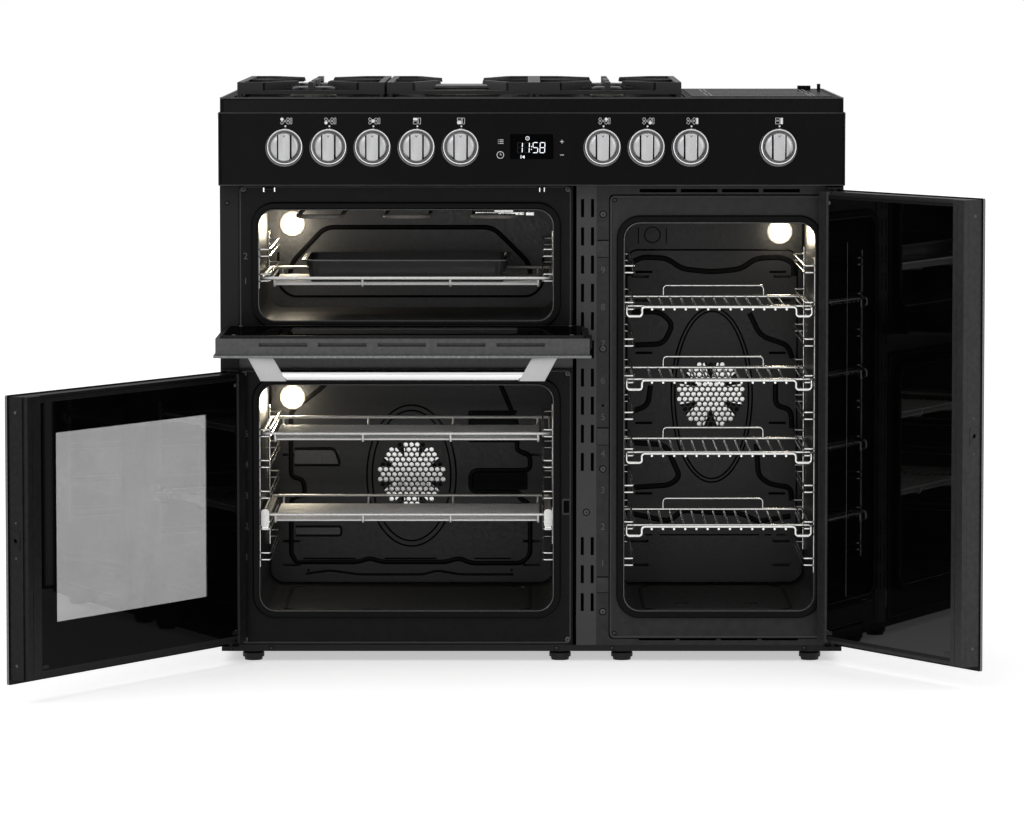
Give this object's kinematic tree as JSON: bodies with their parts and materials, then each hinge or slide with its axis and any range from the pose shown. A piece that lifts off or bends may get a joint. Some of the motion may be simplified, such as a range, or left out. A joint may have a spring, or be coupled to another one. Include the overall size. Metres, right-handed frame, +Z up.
{
  "type": "range cooker with double oven",
  "caption": "Wide free-standing dual-fuel range cooker: gas hob with a ceramic zone, drop-down grill and side-hung main and tall fan ovens, all doors open.",
  "frame": {"origin": "on the floor under the middle of the cabinet, halfway between the fascia's face and the hob's rear edge", "axes": "+X to the cooker's right as seen from the front, +Y to the back, +Z up"},
  "size_m": [1.4958, 1.0874, 0.933],
  "materials": {
    "black_enamel": "gloss",
    "oven_enamel": "gloss",
    "black_panel": "gloss",
    "dark_steel": "satin",
    "bright_wire": "polished",
    "bright_steel": "satin",
    "silver_trim": "satin",
    "cast_iron": "matt",
    "burner_alloy": "satin",
    "seal_rubber": "matt",
    "foot_plastic": "matt",
    "knob_metal": "satin",
    "door_glass": "polished",
    "inner_glass": "polished",
    "ceramic_glass": "polished",
    "lamp_glass": "polished",
    "element_steel": "satin",
    "motor_steel": "satin",
    "gear_metal": "satin",
    "brass_spindle": "satin"
  },
  "bodies": {
    "cabinet": {"base_frame": "dark_steel", "outer_casing": "black_enamel", "levelling_feet": "foot_plastic", "centre_pillar": "black_enamel", "grill_cavity": "oven_enamel", "main_cavity": "oven_enamel", "tall_cavity": "oven_enamel", "door_seals": "seal_rubber", "hob_tray": "black_enamel", "ceramic_plate": "ceramic_glass", "burner_bodies": "burner_alloy", "burner_caps": "cast_iron", "control_panel": "black_panel", "knob_bezels": "silver_trim", "control_gear": "gear_metal", "door_hinges": "dark_steel", "side_racks": "bright_wire", "fan_covers": "oven_enamel", "fan_motors": "motor_steel", "heating_elements": "element_steel", "oven_lamps": "lamp_glass"},
    "grill_door": {"grill_door_outer_glass": "door_glass", "grill_door_frame": "dark_steel", "grill_door_inner_glass": "inner_glass", "grill_door_handle": "bright_steel"},
    "main_door": {"main_door_outer_glass": "door_glass", "main_door_frame": "dark_steel", "main_door_inner_glass": "inner_glass", "main_door_handle": "bright_steel"},
    "tall_door": {"tall_door_outer_glass": "door_glass", "tall_door_frame": "dark_steel", "tall_door_inner_glass": "inner_glass", "tall_door_handle": "bright_steel"},
    "knob_left_rear": {"knob_left_rear": "knob_metal"},
    "knob_left_front": {"knob_left_front": "knob_metal"},
    "knob_wok": {"knob_wok": "knob_metal"},
    "knob_right_rear": {"knob_right_rear": "knob_metal"},
    "knob_right_front": {"knob_right_front": "knob_metal"},
    "knob_grill": {"knob_grill": "knob_metal"},
    "knob_main_oven": {"knob_main_oven": "knob_metal"},
    "knob_ceramic_zone": {"knob_ceramic_zone": "knob_metal"},
    "knob_tall_oven": {"knob_tall_oven": "knob_metal"},
    "spindle_left_rear": {"spindle_left_rear": "brass_spindle"},
    "spindle_left_front": {"spindle_left_front": "brass_spindle"},
    "spindle_wok": {"spindle_wok": "brass_spindle"},
    "spindle_right_rear": {"spindle_right_rear": "brass_spindle"},
    "spindle_right_front": {"spindle_right_front": "brass_spindle"},
    "pan_support_left": {"pan_support_left": "cast_iron"},
    "pan_support_wok": {"pan_support_wok": "cast_iron"},
    "pan_support_right": {"pan_support_right": "cast_iron"},
    "grill_rack": {"grill_rack": "bright_wire"},
    "grill_pan": {"grill_pan": "black_enamel"},
    "fan_main": {"fan_main": "bright_steel"},
    "fan_tall": {"fan_tall": "bright_steel"},
    "main_shelf_upper": {"main_shelf_upper": "bright_wire"},
    "main_shelf_lower": {"main_shelf_lower": "bright_wire"},
    "tall_shelf_1": {"tall_shelf_1": "bright_wire"},
    "tall_shelf_2": {"tall_shelf_2": "bright_wire"},
    "tall_shelf_3": {"tall_shelf_3": "bright_wire"},
    "tall_shelf_4": {"tall_shelf_4": "bright_wire"}
  },
  "joints": [
    {"name": "grill_door_hinge", "type": "hinge", "parent": "cabinet", "child": "grill_door", "pos_m": [0, -0.292, 0.519], "axis": [1, 0, 0], "range_deg": [-90, 0]},
    {"name": "main_door_hinge", "type": "hinge", "parent": "cabinet", "child": "main_door", "pos_m": [-0.484, -0.29, 0.25], "axis": [0, 0, -1], "range_deg": [-122, 0]},
    {"name": "tall_door_hinge", "type": "hinge", "parent": "cabinet", "child": "tall_door", "pos_m": [0.484, -0.29, 0.4], "axis": [0, 0, 1], "range_deg": [-122, 0]},
    {"name": "spindle_left_rear_press", "type": "slide", "parent": "cabinet", "child": "spindle_left_rear", "axis": [0, 1, 0], "range_m": [0, 0.003], "stiffness_N_per_m": 700, "springref_m": -0.005},
    {"name": "knob_left_rear_turn", "type": "hinge", "parent": "spindle_left_rear", "child": "knob_left_rear", "pos_m": [-0.3936, -0.304, 0.832], "axis": [0, -1, 0], "range_deg": [0, 210]},
    {"name": "spindle_left_front_press", "type": "slide", "parent": "cabinet", "child": "spindle_left_front", "axis": [0, 1, 0], "range_m": [0, 0.003], "stiffness_N_per_m": 700, "springref_m": -0.005},
    {"name": "knob_left_front_turn", "type": "hinge", "parent": "spindle_left_front", "child": "knob_left_front", "pos_m": [-0.3235, -0.304, 0.832], "axis": [0, -1, 0], "range_deg": [0, 210]},
    {"name": "spindle_wok_press", "type": "slide", "parent": "cabinet", "child": "spindle_wok", "axis": [0, 1, 0], "range_m": [0, 0.003], "stiffness_N_per_m": 700, "springref_m": -0.005},
    {"name": "knob_wok_turn", "type": "hinge", "parent": "spindle_wok", "child": "knob_wok", "pos_m": [-0.2534, -0.304, 0.832], "axis": [0, -1, 0], "range_deg": [0, 210]},
    {"name": "spindle_right_rear_press", "type": "slide", "parent": "cabinet", "child": "spindle_right_rear", "axis": [0, 1, 0], "range_m": [0, 0.003], "stiffness_N_per_m": 700, "springref_m": -0.005},
    {"name": "knob_right_rear_turn", "type": "hinge", "parent": "spindle_right_rear", "child": "knob_right_rear", "pos_m": [0.1132, -0.304, 0.832], "axis": [0, -1, 0], "range_deg": [0, 210]},
    {"name": "spindle_right_front_press", "type": "slide", "parent": "cabinet", "child": "spindle_right_front", "axis": [0, 1, 0], "range_m": [0, 0.003], "stiffness_N_per_m": 700, "springref_m": -0.005},
    {"name": "knob_right_front_turn", "type": "hinge", "parent": "spindle_right_front", "child": "knob_right_front", "pos_m": [0.1833, -0.304, 0.832], "axis": [0, -1, 0], "range_deg": [0, 210]},
    {"name": "knob_grill_turn", "type": "hinge", "parent": "cabinet", "child": "knob_grill", "pos_m": [-0.1833, -0.304, 0.832], "axis": [0, 1, 0], "range_deg": [0, 270]},
    {"name": "knob_main_oven_turn", "type": "hinge", "parent": "cabinet", "child": "knob_main_oven", "pos_m": [-0.1132, -0.304, 0.832], "axis": [0, 1, 0], "range_deg": [0, 270]},
    {"name": "knob_ceramic_zone_turn", "type": "hinge", "parent": "cabinet", "child": "knob_ceramic_zone", "pos_m": [0.2534, -0.304, 0.832], "axis": [0, 1, 0], "range_deg": [0, 270]},
    {"name": "knob_tall_oven_turn", "type": "hinge", "parent": "cabinet", "child": "knob_tall_oven", "pos_m": [0.3936, -0.304, 0.832], "axis": [0, 1, 0], "range_deg": [0, 270]},
    {"name": "fan_main_spin", "type": "hinge", "parent": "cabinet", "child": "fan_main", "pos_m": [-0.2015, 0.174, 0.266], "axis": [0, 1, 0], "continuous": true},
    {"name": "fan_tall_spin", "type": "hinge", "parent": "cabinet", "child": "fan_tall", "pos_m": [0.3015, 0.174, 0.401], "axis": [0, 1, 0], "continuous": true},
    {"name": "tall_shelf_1_slide", "type": "slide", "parent": "cabinet", "child": "tall_shelf_1", "axis": [0, -1, 0], "range_m": [0, 0.25]},
    {"name": "tall_shelf_2_slide", "type": "slide", "parent": "cabinet", "child": "tall_shelf_2", "axis": [0, -1, 0], "range_m": [0, 0.25]},
    {"name": "tall_shelf_3_slide", "type": "slide", "parent": "cabinet", "child": "tall_shelf_3", "axis": [0, -1, 0], "range_m": [0, 0.25]},
    {"name": "tall_shelf_4_slide", "type": "slide", "parent": "cabinet", "child": "tall_shelf_4", "axis": [0, -1, 0], "range_m": [0, 0.25]},
    {"name": "main_shelf_upper_slide", "type": "slide", "parent": "cabinet", "child": "main_shelf_upper", "axis": [0, -1, 0], "range_m": [0, 0.25]},
    {"name": "main_shelf_lower_slide", "type": "slide", "parent": "cabinet", "child": "main_shelf_lower", "axis": [0, -1, 0], "range_m": [0, 0.25]},
    {"name": "grill_rack_slide", "type": "slide", "parent": "cabinet", "child": "grill_rack", "axis": [0, -1, 0], "range_m": [0, 0.25]},
    {"name": "grill_pan_lift", "type": "slide", "parent": "grill_rack", "child": "grill_pan", "axis": [0, 0, 1], "range_m": [0, 0.05]},
    {"name": "pan_support_left_lift", "type": "slide", "parent": "cabinet", "child": "pan_support_left", "axis": [0, 0, 1], "range_m": [0, 0.1]},
    {"name": "pan_support_wok_lift", "type": "slide", "parent": "cabinet", "child": "pan_support_wok", "axis": [0, 0, 1], "range_m": [0, 0.1]},
    {"name": "pan_support_right_lift", "type": "slide", "parent": "cabinet", "child": "pan_support_right", "axis": [0, 0, 1], "range_m": [0, 0.1]}
  ]
}
